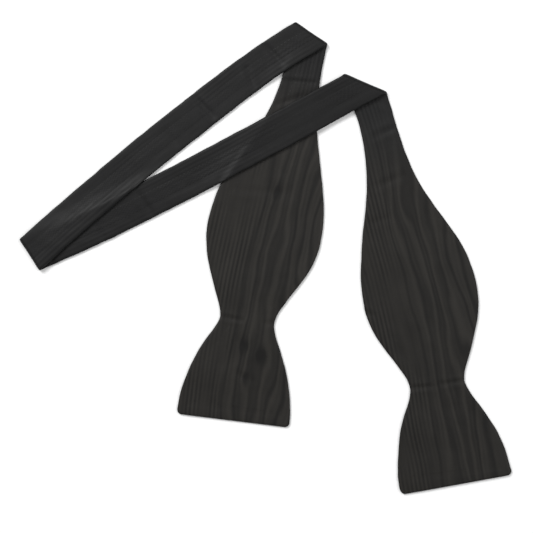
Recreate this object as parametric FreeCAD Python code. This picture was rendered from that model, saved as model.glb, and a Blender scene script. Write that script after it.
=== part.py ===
"""A self-tie bow tie in black watered silk, laid flat and folded three times.

The tie is two equal halves, each a shaped blade with half of the neck band, joined by a seam
at the centre back.  A half is a front panel and a back panel of silk, sewn together round the
edge, turned right side out, with an interlining between them.  Both panels turn under at the
edge, so each carries its seam allowance inside.

From the left blade's tip the tie runs up the left blade, folds over (left fold), runs down the
left band, folds again (centre fold), runs up the right band across the left blade, folds a
third time (right fold) and runs down the right blade.  The left band shows its back panel and
so does the right blade; the left blade and the right band show the front panel.

Millimetres, +Z up, +Y towards the left fold.  The tie lies on Z = 0 and its origin is the
centre of its box at that height.
"""

import FreeCAD
import Part

import math
import os

Vector = FreeCAD.Vector

# Cut of one half: (distance from the blade's tip, half the width there).
BAND_WIDTH = 21.6
CUT = (
    (0.0, 33.4),
    (12.5, 32.6),
    (24.0, 30.0),
    (36.0, 26.0),
    (50.0, 18.9),
    (58.5, 15.9),
    (67.0, 18.0),
    (80.0, 24.5),
    (95.0, 31.0),
    (113.0, 33.8),
    (132.5, 31.5),
    (155.0, 24.0),
    (177.5, 16.1),
    (195.0, 12.6),
    (214.0, BAND_WIDTH / 2),
    (232.0, BAND_WIDTH / 2),
    (252.0, BAND_WIDTH / 2),
)
TIP_CORNER_RADIUS = 3.0
HALF_LENGTH = 452.6

# Cloth and sewing.
CLOTH = 0.35
THICKNESS = 2.0
SEAM_LEVEL = THICKNESS / 2
ALLOWANCE = 5.0
INTERLINING_EASE = 0.3
THREAD = 0.25
STITCH_PITCH = 4.0
STITCH_LENGTH = 1.8
STITCH_PROUD = 0.2
CLOSED_STITCHES = 9

# Where the tie is folded, and how its layers stack.
LEFT_FOLD_FROM_TIP = 232.5
RIGHT_FOLD_FROM_TIP = 242.3
LEFT_BAND_LENGTH = 209.7
RIGHT_BAND_LENGTH = 2 * HALF_LENGTH - LEFT_FOLD_FROM_TIP - LEFT_BAND_LENGTH - RIGHT_FOLD_FROM_TIP
SEAM_FROM_CENTRE_FOLD = HALF_LENGTH - LEFT_FOLD_FROM_TIP - LEFT_BAND_LENGTH
LAYER_GAP = 0.3
STEP = THICKNESS + LAYER_GAP
FOLD_RADIUS = THICKNESS + LAYER_GAP / 2
FOLD_CLEARANCE = 0.15

# Headings in plan, degrees anticlockwise from +X.  Each neck sweeps aside from its blade.
LEFT_BAND_HEADING = 38.2
RIGHT_BAND_HEADING = 27.0
LEFT_TIP_HEADING = -98.5
RIGHT_TIP_HEADING = -78.5
LEFT_NECK_SWEEP = 8.0
RIGHT_NECK_SWEEP = 2.0
SWEPT_LENGTH = 110.0

# The bands rise over whatever lies under them.  Distances run from each band's own start.
RAMP = 8.0
LEFT_BAND_OFF_BLADE = 36.0
LEFT_BAND_ON_RIGHT_BAND = LEFT_BAND_LENGTH - 111.0
RIGHT_BAND_ON_BLADE = 119.5

BIG = 400.0


def heading(degrees):
    return Vector(math.cos(math.radians(degrees)), math.sin(math.radians(degrees)), 0)


def left_of(direction):
    return Vector(-direction.y, direction.x, 0)


class Fold:
    """A flat fold: the two layers leave it along two headings, and turn about one axis."""

    def __init__(self, middle, lower_heading, upper_heading):
        inward = heading((lower_heading + upper_heading) / 2)
        opening = math.radians(lower_heading - upper_heading) / 2
        self.outward = inward * -1
        self.along = left_of(inward)
        self.length = BAND_WIDTH / abs(math.cos(opening))
        self.middle = middle
        self.axis_point = middle + inward * FOLD_RADIUS + Vector(0, 0, FOLD_RADIUS)

    def keeps(self, shape, clearance=FOLD_CLEARANCE):
        """The part of a shape on the tie's side of the fold's axis."""
        start = self.axis_point - self.outward * clearance - self.along * (BIG / 2)
        start.z = -1
        plan = [start, start + self.along * BIG]
        plan += [p - self.outward * BIG for p in reversed(plan)]
        block = Part.Face(Part.makePolygon(plan + plan[:1])).extrude(Vector(0, 0, 20))
        return shape.common(block)

    def roll(self, inner, outer):
        """Half a tube round the axis, for one layer of cloth."""
        foot = self.axis_point - self.along * (self.length / 2)
        tube = Part.makeCylinder(outer, self.length, foot, self.along)
        tube = tube.cut(Part.makeCylinder(inner, self.length, foot, self.along))
        inside = self.keeps(tube, -FOLD_CLEARANCE)
        return tube.cut(inside)


# --- the blade ---------------------------------------------------------------------------------


def cut_profile():
    """Half the blade's width as a curve whose parameter is the distance from the tip."""
    curve = Part.BSplineCurve()
    points = [Vector(from_tip, half_width, 0) for from_tip, half_width in CUT]
    curve.interpolate(Points=points, Parameters=[p.x for p in points])
    return curve


def swept(point, fold_from_tip, sweep):
    """The neck's middle leaves the straight line as a parabola near the fold."""
    beyond = max(0.0, point.x - (fold_from_tip - SWEPT_LENGTH))
    return point - Vector(0, math.tan(math.radians(sweep)) * beyond**2 / (2 * SWEPT_LENGTH), 0)


def blade_plan(fold_from_tip, sweep, inset=0.0):
    """The blade's outline as a face in its own plan, set in by a distance: +X runs from the tip
    to past the fold, the two tip corners are rounded."""
    profile = cut_profile()
    radius = max(TIP_CORNER_RADIUS - inset, 0.4)
    start, end = inset + radius, fold_from_tip + 8.0
    count = 48
    edges, first, last = [], [], []
    for side in (1, -1):
        points = []
        for i in range(count + 1):
            from_tip = start + (end - start) * i / count
            slope = profile.tangent(from_tip)[0]
            edge = profile.value(from_tip) - left_of(slope) * inset
            points.append(swept(Vector(edge.x, side * edge.y, 0), fold_from_tip, sweep))
        curve = Part.BSplineCurve()
        curve.interpolate(points)
        tip = points[0] - Vector(points[0].x - inset, side * radius, 0)
        bulge = Vector(-0.7 * (points[0].x - inset), -side * 0.3 * radius, 0)
        edges += [curve.toShape(), Part.Arc(points[0], points[0] + bulge, tip).toShape()]
        first.append(tip)
        last.append(points[-1])
    edges += [Part.makeLine(*first), Part.makeLine(*last)]
    return Part.Face(Part.Wire(Part.__sortEdges__(edges)))


def slab(face, low, high):
    return face.extrude(Vector(0, 0, high - low)).translated(Vector(0, 0, low))


def turned_panel(outline, plate, wall, allowance):
    """A flat panel, the edge that turns in, and the seam allowance inside; each (low, high)."""
    whole = outline(0.0)
    parts = [
        slab(whole.cut(outline(CLOTH)), *wall),
        slab(whole.cut(outline(CLOTH + ALLOWANCE)), *allowance),
    ]
    return slab(whole, *plate).multiFuse(parts).removeSplitter()


# --- the band ----------------------------------------------------------------------------------


def ramp(start, end):
    """Two tangent arcs that carry the band from one level to another, in the XZ plane."""
    run, rise = end.x - start.x, end.z - start.z
    radius = (run**2 + rise**2) / (4 * abs(rise))
    half_angle = math.asin(run / 2 / radius) / 2
    step = radius * math.sin(half_angle)
    lift = math.copysign(radius * (1 - math.cos(half_angle)), rise)
    middle = (start + end) / 2
    first = Part.Arc(start, start + Vector(step, 0, lift), middle)
    second = Part.Arc(middle, end - Vector(step, 0, lift), end)
    return [first.toShape(), second.toShape()]


def ribbon(levels, inner_side, outer_side, low, high):
    """Cloth that follows the band's levels: from one side to the other, between two heights.
    levels is a list of (distance, height) turning points, level between the ramps."""
    points = [Vector(x, 0, z) for x, z in levels]
    edges = []
    for a, b in zip(points, points[1:]):
        edges += ramp(a, b) if abs(a.z - b.z) > 0.01 else [Part.makeLine(a, b)]
    lift = Vector(0, 0, high - low)
    upper = [edge.translated(lift) for edge in edges]
    ends = [Part.makeLine(p, p + lift) for p in (points[0], points[-1])]
    face = Part.Face(Part.Wire(Part.__sortEdges__(edges + upper + ends)))
    return face.translated(Vector(0, inner_side, low)).extrude(Vector(0, outer_side - inner_side, 0))


def band_panel(levels, plate, wall, allowance):
    """A panel of the band with both its edges turned in."""
    half = BAND_WIDTH / 2
    parts = []
    for side in (1, -1):
        parts.append(ribbon(levels, side * (half - CLOTH), side * half, *wall))
        parts.append(ribbon(levels, side * (half - CLOTH - ALLOWANCE), side * half, *allowance))
    return ribbon(levels, -half, half, *plate).multiFuse(parts).removeSplitter()


# --- one layer after another, the same for blade and band ----------------------------------------

UPPER = {
    "plate": (THICKNESS - CLOTH, THICKNESS),
    "wall": (SEAM_LEVEL, THICKNESS - CLOTH),
    "allowance": (SEAM_LEVEL, SEAM_LEVEL + CLOTH),
}
LOWER = {
    "plate": (0, CLOTH),
    "wall": (CLOTH, SEAM_LEVEL),
    "allowance": (SEAM_LEVEL - CLOTH, SEAM_LEVEL),
}
PADDING = (CLOTH, THICKNESS - CLOTH)
PADDING_INSET = CLOTH + ALLOWANCE + INTERLINING_EASE
THREAD_LEVELS = (
    (SEAM_LEVEL - CLOTH - THREAD, SEAM_LEVEL - CLOTH),
    (SEAM_LEVEL + CLOTH, SEAM_LEVEL + CLOTH + THREAD),
)


def blade(fold_from_tip, sweep):
    """A blade's upper panel, lower panel, interlining and the two threads of its edge seam."""

    def outline(inset):
        return blade_plan(fold_from_tip, sweep, inset)

    thread_ring = outline(CLOTH).cut(outline(CLOTH + THREAD))
    return {
        "upper": turned_panel(outline, **UPPER),
        "lower": turned_panel(outline, **LOWER),
        "interlining": slab(outline(PADDING_INSET), *PADDING),
        "thread": Part.Compound([slab(thread_ring, *level) for level in THREAD_LEVELS]),
    }


def band(levels):
    """The same four layers for a stretch of band."""
    half = BAND_WIDTH / 2
    threads = [
        ribbon(levels, side * (half - CLOTH - THREAD), side * (half - CLOTH), *level)
        for side in (1, -1)
        for level in THREAD_LEVELS
    ]
    return {
        "upper": band_panel(levels, **UPPER),
        "lower": band_panel(levels, **LOWER),
        "interlining": ribbon(levels, PADDING_INSET - half, half - PADDING_INSET, *PADDING),
        "thread": Part.Compound(threads),
    }


def rolled(fold):
    """The three layers where they turn over a fold: the lowest outermost, the highest inside."""
    inner = LAYER_GAP / 2
    return {
        "lower": fold.roll(FOLD_RADIUS - CLOTH, FOLD_RADIUS),
        "interlining": fold.roll(inner + CLOTH, FOLD_RADIUS - CLOTH),
        "upper": fold.roll(inner, inner + CLOTH),
    }


def placed(shape, point, degrees):
    """A shape built along +X, moved to leave a point at a heading."""
    moved = shape.copy()
    moved.rotate(Vector(0, 0, 0), Vector(0, 0, 1), degrees)
    moved.translate(Vector(point.x, point.y, 0))
    return moved


def closing_stitches(first_at, side):
    """Slip stitches across the edge seam, closing the gap through which the half was turned."""
    stitches = []
    for i in range(CLOSED_STITCHES):
        corner = Vector(
            first_at + i * STITCH_PITCH,
            side * BAND_WIDTH / 2 - (STITCH_PROUD if side < 0 else 0),
            SEAM_LEVEL - THREAD / 2,
        )
        stitches.append(Part.makeBox(STITCH_LENGTH, STITCH_PROUD, THREAD, corner))
    return Part.Compound(stitches)


# --- the layout ----------------------------------------------------------------------------------

centre_middle = Vector(0, 0, 0)
left_middle = centre_middle + heading(LEFT_BAND_HEADING) * LEFT_BAND_LENGTH
right_middle = centre_middle + heading(RIGHT_BAND_HEADING) * RIGHT_BAND_LENGTH

left_fold = Fold(left_middle, LEFT_TIP_HEADING - LEFT_NECK_SWEEP, LEFT_BAND_HEADING - 180)
centre_fold = Fold(centre_middle, RIGHT_BAND_HEADING, LEFT_BAND_HEADING)
right_fold = Fold(right_middle, RIGHT_TIP_HEADING + RIGHT_NECK_SWEEP, RIGHT_BAND_HEADING - 180)


FOLDS = {"left": left_fold, "centre": centre_fold, "right": right_fold}

# Which cloth is on top: the front panel, or the back panel after an odd number of folds.
SHARED = {"interlining": "interlining", "thread": "edge_seam_thread"}
FRONT_UP = {"upper": "front_panel", "lower": "back_panel", **SHARED}
BACK_UP = {"upper": "back_panel", "lower": "front_panel", **SHARED}


def lay_blade(fold, fold_from_tip, tip_heading, sweep, mirrored):
    """A blade's layers, laid so that the middle of its neck meets the middle of the fold."""
    turn = tip_heading + 180
    neck = swept(Vector(fold_from_tip, 0, 0), fold_from_tip, sweep)
    shapes = blade(fold_from_tip, sweep)
    if mirrored:
        neck.y = -neck.y
        shapes = {k: s.mirror(Vector(0, 0, 0), Vector(0, 1, 0)) for k, s in shapes.items()}
    tip = fold.middle - FreeCAD.Rotation(Vector(0, 0, 1), turn).multVec(neck)
    return {k: fold.keeps(placed(s, tip, turn)) for k, s in shapes.items()}


def lay_folds():
    """Each fold's outermost cloth is the one that is underneath on the blade or band below it."""
    for name, fold in FOLDS.items():
        names = BACK_UP if name == "right" else FRONT_UP
        for layer, shape in rolled(fold).items():
            yield f"{name}_fold_{names.get(layer, layer)}", shape


def seam_thread():
    """The centre back seam: one line of stitches across the band, between the two panels."""
    half = BAND_WIDTH / 2 - PADDING_INSET
    corner = Vector(SEAM_FROM_CENTRE_FOLD - THREAD / 2, -half, CLOTH)
    return Part.makeBox(THREAD, 2 * half, THICKNESS - 2 * CLOTH, corner)


def cut_at_seam(shape, gap):
    """The band's pieces before and after the centre back seam."""
    low = Vector(SEAM_FROM_CENTRE_FOLD - gap / 2, -BIG / 2, -1)
    high = Vector(SEAM_FROM_CENTRE_FOLD + gap / 2, -BIG / 2, -1)
    before = shape.common(Part.makeBox(BIG, BIG, 20, low - Vector(BIG, 0, 0)))
    after = shape.common(Part.makeBox(BIG, BIG, 20, high))
    return before, after


nodes = {}

left = lay_blade(left_fold, LEFT_FOLD_FROM_TIP, LEFT_TIP_HEADING, LEFT_NECK_SWEEP, False)
right = lay_blade(right_fold, RIGHT_FOLD_FROM_TIP, RIGHT_TIP_HEADING, RIGHT_NECK_SWEEP, True)
nodes.update({"left_blade_" + FRONT_UP[k]: s for k, s in left.items()})
nodes.update({"right_blade_" + BACK_UP[k]: s for k, s in right.items()})

# The left band starts on top of the left blade, drops to the table and climbs onto the right band.
left_levels = [
    (-10.0, STEP),
    (LEFT_BAND_OFF_BLADE, STEP),
    (LEFT_BAND_OFF_BLADE + RAMP, 0.0),
    (LEFT_BAND_ON_RIGHT_BAND - RAMP, 0.0),
    (LEFT_BAND_ON_RIGHT_BAND, STEP),
    (LEFT_BAND_LENGTH + 10.0, STEP),
]
back_from_left = LEFT_BAND_HEADING + 180
for layer, shape in band(left_levels).items():
    shape = placed(shape, left_middle, back_from_left)
    nodes["left_band_" + BACK_UP[layer]] = left_fold.keeps(centre_fold.keeps(shape))
stitches = closing_stitches(LEFT_BAND_OFF_BLADE + RAMP + 3.0, 1)
nodes["left_band_closing_stitches"] = placed(stitches, left_middle, back_from_left)

# The right band starts on the table under the left band and climbs over the left blade.  Its
# first few millimetres belong to the left half, up to the centre back seam.
right_levels = [
    (-10.0, 0.0),
    (RIGHT_BAND_ON_BLADE - RAMP, 0.0),
    (RIGHT_BAND_ON_BLADE, STEP),
    (RIGHT_BAND_LENGTH + 10.0, STEP),
]
for layer, shape in band(right_levels).items():
    before, after = cut_at_seam(shape, 2 * THREAD if layer == "interlining" else 0.0)
    before = placed(before, centre_middle, RIGHT_BAND_HEADING)
    after = placed(after, centre_middle, RIGHT_BAND_HEADING)
    nodes["left_band_end_" + FRONT_UP[layer]] = centre_fold.keeps(before)
    nodes["right_band_" + FRONT_UP[layer]] = right_fold.keeps(after)
nodes["centre_back_seam_thread"] = placed(seam_thread(), centre_middle, RIGHT_BAND_HEADING)
stitches = closing_stitches(RIGHT_BAND_ON_BLADE - RAMP - 3.0 - CLOSED_STITCHES * STITCH_PITCH, -1)
nodes["right_band_closing_stitches"] = placed(stitches, centre_middle, RIGHT_BAND_HEADING)

nodes.update(lay_folds())

box = FreeCAD.BoundBox()
for shape in nodes.values():
    box.add(shape.BoundBox)
home = Vector(-box.Center.x, -box.Center.y, 0)

os.makedirs("parts", exist_ok=True)
for name, shape in nodes.items():
    shape.translate(home)
    shape.exportStep(f"parts/{name}.step")
    print(name, "solids", len(shape.Solids), "valid", shape.isValid(), "mm3", round(shape.Volume, 1))
for name, fold in FOLDS.items():
    print(name, "fold axis at", fold.axis_point + home, "along", fold.along)
print("box", box.XLength, box.YLength, box.ZLength)
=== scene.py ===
# %% [markdown]
# # A self-tie bow tie in black watered silk
#
# The tie lies flat and is folded three times.  It is made like the real one: two halves, each a
# front and a back panel of silk sewn together round the edge and turned right side out over an
# interlining, joined by a seam at the centre back.  Every length below is in millimetres in the
# frame of the CAD model, until a mesh is made from it in metres.

import math

import bpy
import numpy as np
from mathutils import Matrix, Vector
from mathutils.bvhtree import BVHTree


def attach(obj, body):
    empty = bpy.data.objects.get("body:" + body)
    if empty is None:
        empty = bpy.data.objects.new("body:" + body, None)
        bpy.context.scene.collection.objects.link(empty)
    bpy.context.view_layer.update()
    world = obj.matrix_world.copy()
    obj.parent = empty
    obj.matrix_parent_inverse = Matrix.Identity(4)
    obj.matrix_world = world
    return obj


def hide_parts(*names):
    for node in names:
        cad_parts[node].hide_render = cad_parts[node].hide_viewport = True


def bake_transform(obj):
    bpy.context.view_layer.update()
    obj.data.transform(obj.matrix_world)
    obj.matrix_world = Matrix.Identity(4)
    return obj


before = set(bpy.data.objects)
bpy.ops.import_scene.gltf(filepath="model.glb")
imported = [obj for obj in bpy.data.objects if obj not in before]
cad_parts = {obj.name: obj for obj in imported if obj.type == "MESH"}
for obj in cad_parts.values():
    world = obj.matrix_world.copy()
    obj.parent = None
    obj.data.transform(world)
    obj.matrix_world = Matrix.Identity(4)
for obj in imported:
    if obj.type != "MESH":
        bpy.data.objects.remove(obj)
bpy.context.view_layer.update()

MM = 0.001
ROW_STEP = 1.25

# %% [markdown]
# ## The cut
#
# On the real tie both halves are cut from one card pattern.  A curve through a few widths gives the
# same pattern here.  A polygon drawn by hand would do for one view, but the curve can be asked for
# its width anywhere, which the seam, the lining and the stitches all need.


# %% A curve through points
def through(points):
    """A smooth curve through (x, y) points, as a function of x."""
    xs, ys = np.array(points, float).T
    slopes = np.gradient(ys, xs)

    def at(x):
        i = np.clip(np.searchsorted(xs, x) - 1, 0, len(xs) - 2)
        h = xs[i + 1] - xs[i]
        t = np.clip((x - xs[i]) / h, 0, 1)
        value = ys[i] * (1 + 2 * t) * (1 - t) ** 2 + ys[i + 1] * t * t * (3 - 2 * t)
        return value + h * (slopes[i] * t * (1 - t) ** 2 + slopes[i + 1] * t * t * (t - 1))

    return at


def eased(share):
    """A share from 0 to 1, held at both ends, with a soft start and a soft end."""
    t = np.clip(share, 0, 1)
    return t * t * (3 - 2 * t)


# %% The pattern card
# (distance from the tip, half the finished width there)
HALF_WIDTH = through(
    [(-9, 33.4), (0, 33.5), (12.5, 32.6), (20, 31.1), (27.5, 29.1), (35, 26.4), (42.5, 23.1)]
    + [(50, 19.2), (54.5, 17.2), (58.5, 16.2), (63, 16.7), (72.5, 20.7), (80, 24.4), (87.5, 27.9)]
    + [(95, 30.9), (102.5, 32.9), (110, 33.7), (117.5, 33.6), (125, 32.9), (132.5, 31.5), (140, 29.4)]
    + [(147.5, 26.8), (155, 24.1), (162.5, 21.2), (170, 18.4), (177.5, 16.0), (185, 14.0)]
    + [(192.5, 12.7), (200, 11.6), (207.5, 10.9), (220, 10.5), (240, 10.6), (300, 10.9), (452.6, 10.8)]
)
TIP_RADIUS = 3.0
for label, place in (("tip end", 4.0), ("waist", 58.5), ("widest", 112.0), ("band", 240.0)):
    print(label, round(2 * float(HALF_WIDTH(place)), 1), "mm wide")

# %% [markdown]
# ## Where the tie lies
#
# Each stretch of the tie, blade or band, runs between two points and bows a little to one side of
# the straight line, as cloth does when it is laid down by hand.  The stretches meet in folds.


# %% A stretch of the tie
class Stretch:
    """A blade or a band, as a line on the table.  bow lists (distance, how far left of straight)."""

    def __init__(self, name, start, end, bow, tie_start, face):
        self.name, self.face, self.tie_start = name, face, tie_start
        self.start, self.end = np.array(start, float), np.array(end, float)
        self.length = np.linalg.norm(self.end - self.start)
        self.ahead = (self.end - self.start) / self.length
        self.left = np.array([-self.ahead[1], self.ahead[0]])
        self.bow = through([(x * self.length / bow[-1][0], y) for x, y in bow])

    def line(self, x):
        """(point, unit vector to the left) of the middle line; straight on beyond both ends."""
        inside = np.clip(x, 0, self.length)
        slope = self.bow(inside + 0.5) - self.bow(inside - 0.5)
        along = self.ahead + slope[..., None] * self.left
        along /= np.linalg.norm(along, axis=-1, keepdims=True)
        base = self.start + inside[..., None] * self.ahead + self.bow(inside)[..., None] * self.left
        point = base + (x - inside)[..., None] * along
        return point, np.stack([-along[..., 1], along[..., 0]], -1)

    def direction(self, x):
        left = self.line(np.array(float(x)))[1]
        return np.array([left[1], -left[0]])

    def half_width(self, x):
        """Half the cut's width at a distance along this stretch.  The two halves of the tie are alike,
        so it is looked up from the nearer tip."""
        from_tip = self.tie_start + x
        return HALF_WIDTH(np.minimum(from_tip, TIE_LENGTH - from_tip))


# %% Two blades and two bands
LEFT_FOLD = (28.3, 133.0)
CENTRE_FOLD = (-136.7, 3.5)
RIGHT_FOLD = (60.1, 103.7)

left_blade = Stretch(
    "left_blade",
    (-17.1, -94.2),
    LEFT_FOLD,
    [(-1, 0.5), (0, 0.6), (12, 1.6), (35, 3.0), (57, 3.7), (78, 4.7), (95, 4.7), (110, 4.3), (132, 3.7)]
    + [(155, 2.5), (172, 1.5), (200, 0.5), (231.8, 0)],
    0.0,
    1,
)
left_band = Stretch(
    "left_band",
    LEFT_FOLD,
    CENTRE_FOLD,
    [(0, 0), (15, -2.1), (30, -3.5), (50, -4.2), (80, -4.5), (105, -4.4), (135, -3.8)]
    + [(160, -2.9), (185, -1.6), (209.7, 0)],
    left_blade.length,
    -1,
)
right_band = Stretch(
    "right_band",
    CENTRE_FOLD,
    RIGHT_FOLD,
    [(0, 0), (40, -2.0), (100, -2.4), (160, -1.6), (200, -0.5), (220.8, 0)],
    left_blade.length + left_band.length,
    1,
)
right_blade = Stretch(
    "right_blade",
    RIGHT_FOLD,
    (115.1, -131.2),
    [(0, 0), (26, 1.9), (56, 2.0), (86, 2.4), (116, 3.4), (131, 3.4), (163, 2.6), (184, 1.1)]
    + [(206, -0.3), (229, -0.65), (241.3, -1.3), (242, -1.3)],
    left_blade.length + left_band.length + right_band.length,
    -1,
)
TIE_LENGTH = right_blade.tie_start + right_blade.length
CENTRE_SEAM = TIE_LENGTH / 2 - right_band.tie_start
print("tie", round(TIE_LENGTH, 1), "mm end to end, seam", round(CENTRE_SEAM, 1), "mm past the centre fold")

# %% [markdown]
# ## The creases
#
# A soft fold in the real tie is a roll of cloth.  Its crease lies midway between the two directions
# that leave it, and the radius of the roll is what the layers inside leave room for.  The axis could
# be placed by eye, but worked out from the stretches it keeps their edges together.


# %% The height of the cloth, and a crease's axis
THICKNESS = 2.0
# How high the middle of the tie lies where nothing is under it.
TABLE = THICKNESS / 2


class Crease:
    """A fold between a lower stretch and an upper one, rolled round an axis at a radius."""

    def __init__(self, name, lower, lower_at, upper, upper_at, radius):
        self.name, self.radius = name, radius
        into = [s.direction(at) * (1 if at == 0 else -1) for s, at in ((lower, lower_at), (upper, upper_at))]
        inward = into[0] + into[1]
        self.inward = inward / np.linalg.norm(inward)
        self.along = np.array([-self.inward[1], self.inward[0]])
        end = lower.start if lower_at == 0 else lower.end
        self.axis = np.append(end + self.inward * radius, TABLE + radius)

    def shear(self, stretch, at):
        """How far along a stretch its crease runs for each millimetre to the left."""
        ahead = stretch.direction(at)
        left = np.array([-ahead[1], ahead[0]])
        return (self.along @ ahead) / (self.along @ left)


# %% The three creases
left_fold = Crease("left_fold", left_blade, left_blade.length, left_band, 0, 1.25)
centre_fold = Crease("centre_fold", right_band, 0, left_band, left_band.length, 1.25)
right_fold = Crease("right_fold", right_blade, 0, right_band, right_band.length, 1.55)
for crease in (left_fold, centre_fold, right_fold):
    angle = math.degrees(math.atan2(crease.along[1], crease.along[0]))
    print(crease.name, "axis", crease.axis.round(1), "running at", round(angle, 1), "degrees")
# The crease at each stretch's start or end, with 1 for the upper layer and -1 for the lower.
STARTS = {"left_band": (left_fold, 1), "right_band": (centre_fold, -1), "right_blade": (right_fold, -1)}
ENDS = {"left_blade": (left_fold, -1), "left_band": (centre_fold, 1), "right_band": (right_fold, 1)}


def folds_of(stretch):
    """(crease, layer, the crease's distance along the stretch) for each end that is folded."""
    for folds, at in ((STARTS, 0.0), (ENDS, stretch.length)):
        if stretch.name in folds:
            yield *folds[stretch.name], at


# %% [markdown]
# ## The panels' section
#
# A real panel is one layer of silk.  At the edge it turns in over itself, and about 5 mm of it, the
# seam allowance, lies flat inside.  The section is written as rings: ring 0 is the raw edge of the
# allowance, then comes the seam, the rolled edge, and the flat face.  Solidifying a flat sheet would
# give the thickness but no turned edge, so the groove between the two panels would be lost.

# %% Rings from the raw edge to the flat face
CLOTH = 0.25
# (distance in from the outline, height over the middle of the tie)
RINGS = np.array(
    [(4.9, 0.06), (2.4, 0.05), (0.95, 0.04), (0.42, 0.03), (0.17, 0.06), (0.03, 0.17)]
    + [(0.0, 0.34), (0.06, 0.54), (0.22, 0.72), (0.5, 0.86), (0.9, 0.95), (1.5, 0.99)]
    + [(2.4, 1.0), (3.5, 1.0), (4.6, 0.99), (5.2, 0.965), (5.9, 0.93), (6.8, 0.915)]
)
FLAT_HEIGHT = 0.91
ACROSS = 19


def inner_rings(rings):
    """The inside of the cloth: each ring moved in by the cloth's thickness."""
    step = np.gradient(rings, axis=0)
    step /= np.linalg.norm(step, axis=1, keepdims=True)
    return rings - np.stack([-step[:, 1], step[:, 0]], 1) * CLOTH


INNER = inner_rings(RINGS)
TRAVEL = np.append(0, np.cumsum(np.linalg.norm(np.diff(RINGS, axis=0), axis=1)))
EDGE = len(RINGS)
COLUMNS = 2 * EDGE + ACROSS
SIDE_RING = np.minimum(np.arange(COLUMNS), COLUMNS - 1 - np.arange(COLUMNS))
print("section:", EDGE, "rings at each edge and", ACROSS, "columns between")

# %% [markdown]
# ## The corners of the tips
#
# The real corners are turned out with a blunt point, so they are a little round.  Each ring gets its
# own rounded corner, all with one centre.  A bevel would round the outline too, but not the rings
# inside it, which have to stay in step with the rows and columns.


# %% Rings round a tip's corner
def corner_steps(distances):
    """table[r, i]: how far in from a corner's other edge point i of ring r stands."""
    table = np.zeros((EDGE, EDGE))
    for r in range(EDGE):
        share = (TRAVEL - TRAVEL[r]) / max(TRAVEL[-1] - TRAVEL[r], 1e-9)
        table[r] = distances[r] + share * (distances[-1] - distances[r])
    return table


def round_corner(from_tip, from_side, inset):
    """Moves points near a tip's corner onto rounded rings; inset is each point's ring's distance in."""
    reach = np.maximum(TIP_RADIUS - inset, 1e-3)
    side = from_side <= from_tip
    past = np.where(side, from_tip, from_side) - inset
    turn = math.pi / 4 * (1 + np.clip(past / reach, 0, 1))
    far, near = TIP_RADIUS - reach * np.cos(turn), TIP_RADIUS - reach * np.sin(turn)
    use = (past < reach) & (inset < TIP_RADIUS)
    return (
        np.where(use, np.where(side, far, near), from_tip),
        np.where(use, np.where(side, near, far), from_side),
    )


# %% The grid of one face of a panel
def section_grid(rows, tip, rings, half_width):
    """(along, across, height) of a panel's surface, rows by columns.  rows are distances along the
    stretch, from the tip's edge if tip is set.  across is positive on the left, front face up."""
    n = len(rows)
    distances, heights = rings.T
    column = np.arange(COLUMNS)
    inside = SIDE_RING >= EDGE
    ring = np.minimum(SIDE_RING, EDGE - 1)[None, :].repeat(n, 0)
    along = rows[:, None].repeat(COLUMNS, 1)
    inset = distances[ring]
    if tip:
        steps = corner_steps(distances)
        for i in range(EDGE):
            by_tip = SIDE_RING > i
            along[i] = np.where(by_tip, distances[i], steps[ring[i], i])
            inset[i] = np.where(by_tip & ~inside, steps[i, ring[i]], inset[i])
            ring[i] = np.where(by_tip, i, ring[i])
        corner = slice(0, EDGE), ~inside
        along[corner], inset[corner] = round_corner(along[corner], inset[corner], distances[ring[corner]])
    width = half_width(along)
    share = (column - EDGE + 1) / (ACROSS + 1)
    inset = np.where(inside, distances[-1] + 2 * (width - distances[-1]) * share, inset)
    flip = (column > COLUMNS // 2) & ~inside
    across = np.where(flip, inset - width, width - inset)
    flat = inside[None, :] & (np.arange(n)[:, None] >= (EDGE if tip else 0))
    return along, across, np.where(flat, FLAT_HEIGHT, heights[ring])


# %% [markdown]
# ## Rows along each stretch
#
# The rows stand close together where the cloth rolls over a fold and at the tips, and about a
# millimetre apart elsewhere, which is fine enough for a crease and still light.

# %% Rows at the folds and between them
ROLL_ROWS = 15
QUARTER = math.pi / 2 - 1


def fold_rows(crease):
    """Distances from a crease: from the middle of the roll to the first flat rows."""
    rolled = np.linspace(-QUARTER * crease.radius, crease.radius + 0.5, ROLL_ROWS)
    return np.append(rolled, rolled[-1] + np.cumsum([0.4, 0.6, 0.8, 1.0, 1.2]))


def even_rows(low, high):
    count = max(2, round((high - low) / ROW_STEP))
    return np.linspace(low, high, count + 1)[1:-1]


def stretch_rows(stretch):
    """The distances of a stretch's rows along it.  The centre seam has a row of its own."""
    first, last = (
        fold_rows(folds[stretch.name][0]) if stretch.name in folds else RINGS[:, 0]
        for folds in (STARTS, ENDS)
    )
    last = stretch.length - last[::-1]
    rows = [first, even_rows(first[-1], last[0]), last]
    if stretch is right_band:
        middle = even_rows(first[-1], CENTRE_SEAM)
        rows = [first, middle, [CENTRE_SEAM], even_rows(CENTRE_SEAM, last[0]), last]
    return np.concatenate(rows)


# %% Rows turned to their crease
# The tips lie a little off square: (where, millimetres further on, and per millimetre to the left).
TIP_SLANT = {"left_blade": (0.0, -0.5, 0.024), "right_blade": (right_blade.length, 0.9, 0.05)}


def sheared(stretch, along, across):
    """Rows near a fold turn to run along its crease; the turn dies away over a few centimetres."""
    shift = np.zeros_like(along)
    for crease, _, at in folds_of(stretch):
        weight = 1 - eased((np.abs(along - at) - 4) / 38)
        shift += crease.shear(stretch, at) * across * weight
    if stretch.name in TIP_SLANT:
        at, longer, slant = TIP_SLANT[stretch.name]
        shift += (longer + slant * across) * eased(1 - np.abs(along - at) / 45)
    return along + shift


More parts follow.
